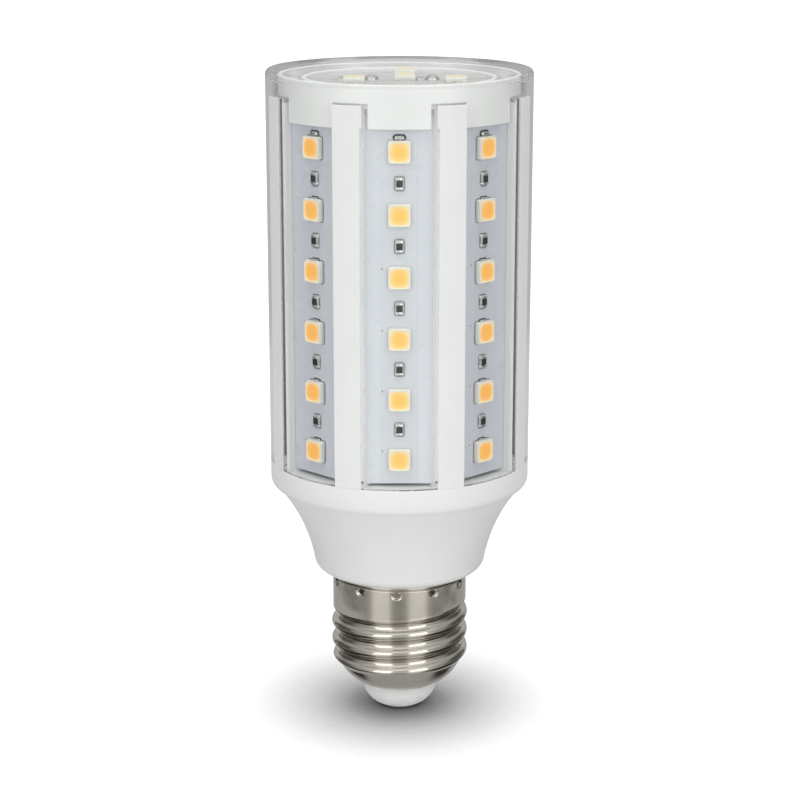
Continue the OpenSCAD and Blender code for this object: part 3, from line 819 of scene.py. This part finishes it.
# painted shade: a dark band laid round each resistor
def resistor_shade_band():
    return band(0.82, 1.24, 0.34, 0.15, 0.03)


def dot(x, y, r):
    return loft([[(x + q * math.cos(math.radians(a)), y + q * math.sin(math.radians(a)), z) for a in range(0, 360, 30)]
                 for q, z in ((r, 0.0), (r * 0.9, 0.03), (r * 0.5, 0.05))])


CUP, GEL = led_cup(), led_gel()
# painted shade: the shape of the dark line round each package's foot
PACKAGE_SHADE = band(1.96, 2.01, 0.4, 0.16, 0.03)
for k in range(STRIPS):
    places = [on_strip(k, LED_TOP - n * LED_PITCH) for n in range(LEDS)]
    piece(gather(f"packages_{k + 1}", [CUP], places, 40), LED_BODY, "led_body", f"strip_leds_{k + 1}")
    # the side strips take the copy of the gel with the strongest painted glow
    piece(gather(f"gel_{k + 1}", [GEL], places, 50, True), PHOSPHOR_SIDE if k else PHOSPHOR, "phosphor", f"strip_phosphors_{k + 1}")
    mids = [on_strip(k, LED_TOP - (n + 0.5) * LED_PITCH) for n in range(LEDS - 1)]
    piece(gather(f"resistors_{k + 1}", [resistor_body()], mids, 30), CERAMIC, "resistor", f"strip_resistors_{k + 1}")
    piece(gather(f"resistor_joints_{k + 1}", [resistor_ends()], mids, 50), SOLDER, "solder")
    # painted shade round each resistor, dark on the side strips and grey on the front one
    piece(gather(f"resistor_shades_{k + 1}", [resistor_shade_band()], mids, 40), PAINTED_SHADE if k else PAINTED_SHADE_GREY, "solder")
    # painted shade: a dark line round each package's foot, pale on the front strip, and a dark rim round the joint
    # above them
    piece(gather(f"package_shade_lines_{k + 1}", [PACKAGE_SHADE], places, 40), PAINTED_SHADE if k else PAINTED_SHADE_PALE, "strip_mask")
    edges = gather(f"feed_shade_{k + 1}", [fillet(2.36, 1.2, 2.5, 0.14)], places[:1], 60)
    piece(edges, SHADE_AND_PRINT, "solder")
    piece(gather(f"feed_joint_{k + 1}", [fillet(1.86, 0.92, 2.42, 0.46)], places[:1], 60), SOLDER, "solder")
    # painted shade round the lower joints, on the side strips only
    if k:
        piece(gather(f"joint_shade_{k + 1}", [fillet(1.9, 0.62, 2.16, 0.12)], places[1:], 60), SHADE_AND_PRINT, "solder")
        piece(gather(f"package_joints_{k + 1}", [fillet(1.5, 0.4, 2.1, 0.4)], places[1:], 60), SOLDER, "solder")
    piece(gather(f"mask_dots_{k + 1}", [dot(-3.0, 1.5, 0.13)], places[2:], 60), SHADE_AND_PRINT, "strip_mask")

# ---------------------------------------------------------------- top board
tb = refine("top_board", 0.05, 1)
piece(tb, TOP_BOARD, "top_mask", "top_board")
piece(gather("top_packages", [CUP], TOP_PLACES, 40), LED_BODY, "led_body", "top_leds")
piece(gather("top_gel", [GEL], TOP_PLACES, 50, True), PHOSPHOR_TOP, "phosphor", "top_phosphors")
piece(gather("top_joints", [fillet(2.0, 0.4, 2.1, 0.3), fillet(2.0, 0.4, -2.1, 0.3)], TOP_PLACES, 60), SOLDER, "solder")
piece(gather("top_chips", [resistor_body()], TOP_CHIPS, 30), CERAMIC, "resistor", "top_resistors")
piece(gather("top_chip_joints", [resistor_ends()], TOP_CHIPS, 50), SOLDER, "solder")
domes = []
for cx in (-5.1, 6.0):
    base = []
    for r, z in ((1.42, 0.0), (1.38, 0.16), (1.27, 0.42), (1.08, 0.66), (0.8, 0.85), (0.42, 0.96), (0.2, 0.985)):
        base.append([(cx + r * math.cos(math.radians(a)), r * math.sin(math.radians(a)), z + 0.01) for a in range(0, 360, 10)])
    domes.append(loft(base))
piece(gather("lead_domes", domes, [on_top(0, 0, 0)], 60), SOLDER_DOME, "solder")

# ---------------------------------------------------------------- carried-over nodes
for name, mat, slot in (
    ("strip_links", SOLDER, "solder"), ("driver_board", GREEN, "driver_mask"), ("bulk_capacitor", SLEEVE, "capacitor_sleeve"),
    ("film_capacitor", FILM, "film_epoxy"), ("bridge_rectifier", CHIP, "chip_black"), ("drum_inductor", FERRITE, "ferrite"),
    ("fuse_resistor", FUSE, "fuse_enamel"), ("driver_chip", CHIP, "chip_black"), ("live_lead", RED, "lead_red"),
    ("neutral_lead", BLACK, "lead_black"), ("led_lead_plus", RED, "lead_red"), ("led_lead_minus", BLACK, "lead_black"),
):
    paint(NODES[name], mat, slot)

# ---------------------------------------------------------------- floor, light, camera
floor_mesh = bpy.data.meshes.new("floor")
S = 30.0
floor_mesh.from_pydata([(-S, -S, 0), (S, -S, 0), (S, S, 0), (-S, S, 0)], [], [(0, 1, 2, 3)])
floor = bpy.data.objects.new("floor", floor_mesh)
bpy.context.scene.collection.objects.link(floor)
fm, nt, b = material("floor_white")
out = nt.nodes["Material Output"]
nt.nodes.remove(b)
near = nt.nodes.new("ShaderNodeBsdfDiffuse")
# the contact shadow deepens where the bulb overhangs the floor
ao = nt.nodes.new("ShaderNodeAmbientOcclusion")
ao.samples = 8
ao.inputs["Distance"].default_value = 0.03
shade = mathn(nt, "POWER", ao.outputs["AO"], 1.75)
nt.links.new(mathn(nt, "MULTIPLY", shade, 0.4), near.inputs["Color"])
glow = nt.nodes.new("ShaderNodeEmission")
nt.links.new(mathn(nt, "MULTIPLY", shade, 0.8), glow.inputs["Strength"])
lit = nt.nodes.new("ShaderNodeAddShader")
nt.links.new(near.outputs[0], lit.inputs[0])
nt.links.new(glow.outputs[0], lit.inputs[1])
far = nt.nodes.new("ShaderNodeBsdfDiffuse")
far.inputs["Color"].default_value = (0.74, 0.74, 0.74, 1)
lp = nt.nodes.new("ShaderNodeLightPath")
mix = nt.nodes.new("ShaderNodeMixShader")
nt.links.new(lp.outputs["Is Camera Ray"], mix.inputs[0])
nt.links.new(far.outputs[0], mix.inputs[1])
nt.links.new(lit.outputs[0], mix.inputs[2])
nt.links.new(mix.outputs[0], out.inputs["Surface"])
floor_mesh.materials.append(fm)
# glossy and clear surfaces see the studio's lower half instead of the floor
floor.visible_glossy = False
floor.visible_transmission = False

scene = bpy.context.scene
world = bpy.data.worlds.new("studio")
scene.world = world
world.use_nodes = True
nt = world.node_tree
bg = nt.nodes["Background"]
tc = nt.nodes.new("ShaderNodeTexCoord")
sep = nt.nodes.new("ShaderNodeSeparateXYZ")
nt.links.new(tc.outputs["Generated"], sep.inputs[0])
flat = mathn(nt, "SQRT", mathn(nt, "ADD", mathn(nt, "MULTIPLY", sep.outputs[0], sep.outputs[0]),
                                mathn(nt, "MAXIMUM", mathn(nt, "MULTIPLY", sep.outputs[1], sep.outputs[1]), 1e-6)))
t = span(nt, mathn(nt, "DIVIDE", mathn(nt, "MULTIPLY", sep.outputs[1], -1.0), flat), 0.0, 1.0, -1.0, 1.0)
up = sep.outputs[2]


def G(v):
    return (v, v, v)


def az(degrees):
    return (math.cos(math.radians(degrees)) + 1) / 2


def tones(*stops):
    """Brightness round the horizon, from straight behind (180 degrees) to the front (0)."""
    return ramp(nt, t, [(az(d), G(v)) for d, v in stops])


def blend(low, high, z0, z1):
    m = nt.nodes.new("ShaderNodeMix")
    m.data_type = "RGBA"
    f = nt.nodes.new("ShaderNodeMapRange")
    f.interpolation_type = "SMOOTHSTEP"
    f.inputs["From Min"].default_value = z0
    f.inputs["From Max"].default_value = z1
    nt.links.new(up, f.inputs["Value"])
    nt.links.new(f.outputs["Result"], m.inputs["Factor"])
    nt.links.new(low, m.inputs["A"])
    nt.links.new(high, m.inputs["B"])
    return m.outputs["Result"]


nadir = tones((180, 0.42), (0, 0.42))
steep = tones((180, 0.42), (150, 0.4), (140, 0.05), (100, 0.03), (60, 0.05), (48, 0.3), (43, 0.62), (20, 0.62), (12, 0.3), (0, 0.25))
low = tones((180, 0.6), (150, 0.42), (125, 0.5), (82, 0.5), (60, 0.40), (52, 0.5), (44, 0.84), (20, 0.84), (10, 0.4), (0, 0.3))
mid = tones((180, 0.6), (145, 0.5), (130, 0.35), (124, 0.1), (85, 0.08), (74, 0.3), (60, 0.42), (50, 0.6), (44, 1.15), (20, 1.15), (12, 0.6), (0, 0.5))
level = tones((180, 0.45), (140, 0.45), (137, 0.05), (132, 0.05), (129, 0.35), (124, 0.12), (85, 0.12), (74, 0.35), (60, 0.45), (45, 0.9), (20, 0.9), (0, 0.6))
rise = tones((180, 0.5), (145, 0.5), (128, 0.12), (98, 0.1), (88, 0.3), (62, 0.42), (48, 0.6), (44, 2.1), (18, 2.1), (12, 0.6), (0, 0.55))
eye = tones((180, 0.6), (145, 0.55), (128, 0.12), (98, 0.1), (88, 0.3), (62, 0.42), (48, 0.6), (44, 2.1), (18, 2.1), (12, 0.6), (0, 0.55))
high = tones((180, 0.75), (120, 0.45), (90, 0.5), (45, 0.95), (0, 0.95))
col = blend(blend(blend(nadir, steep, -0.9, -0.8), low, -0.385, -0.355), mid, -0.325, -0.3)
col = blend(blend(blend(blend(col, level, -0.235, -0.205), rise, -0.04, 0.06), eye, 0.17, 0.24), high, 0.35, 0.75)
nt.links.new(col, bg.inputs["Color"])
# the camera sees the white sweep behind the floor; only lit and clear surfaces see the boxes and flags
sweep = nt.nodes.new("ShaderNodeBackground")
sweep.inputs["Color"].default_value = (1.0, 1.0, 1.0, 1)
lp = nt.nodes.new("ShaderNodeLightPath")
seen = nt.nodes.new("ShaderNodeMixShader")
nt.links.new(lp.outputs["Is Camera Ray"], seen.inputs[0])
nt.links.new(bg.outputs[0], seen.inputs[1])
nt.links.new(sweep.outputs[0], seen.inputs[2])
nt.links.new(seen.outputs[0], nt.nodes["World Output"].inputs["Surface"])


def softbox(name, azimuth, elevation, distance, width, height, radiance, glossy=True):
    data = bpy.data.lights.new(name, "AREA")
    data.shape = "RECTANGLE"
    data.size, data.size_y = width, height
    data.energy = radiance * math.pi * width * height
    ob = bpy.data.objects.new(name, data)
    scene.collection.objects.link(ob)
    a, e = math.radians(azimuth), math.radians(elevation)
    back = (math.sin(a) * math.cos(e), -math.cos(a) * math.cos(e), math.sin(e))
    ob.location = [c * distance + o for c, o in zip(back, (0, 0, 0.06))]
    from mathutils import Vector
    ob.rotation_mode = "QUATERNION"
    ob.rotation_quaternion = Vector(back).to_track_quat("Z", "Y")
    if not glossy:
        ob.visible_glossy = False
        ob.visible_transmission = False
    return ob


softbox("overhead", 0, 88, 1.3, 1.1, 1.1, 2.6, glossy=False)

cam = bpy.data.cameras.new("camera")
cam.lens = 93.615
cam.sensor_width = 36.0
cam.clip_start, cam.clip_end = 0.01, 100.0
cam_ob = bpy.data.objects.new("camera", cam)
scene.collection.objects.link(cam_ob)
cam_ob.location = (0.0001, -0.38225, 0.15967)
cam_ob.rotation_euler = (math.radians(75.53), 0, 0)
scene.camera = cam_ob

scene.view_settings.view_transform = "Standard"
scene.view_settings.look = "None"
scene.view_settings.exposure = 0.0
scene.view_settings.gamma = 1.0
scene.cycles.max_bounces = 40
scene.cycles.diffuse_bounces = 5
scene.cycles.glossy_bounces = 20
scene.cycles.transmission_bounces = 30
scene.cycles.transparent_max_bounces = 16
scene.cycles.caustics_refractive = False
scene.cycles.caustics_reflective = False
scene.cycles.blur_glossy = 0.3
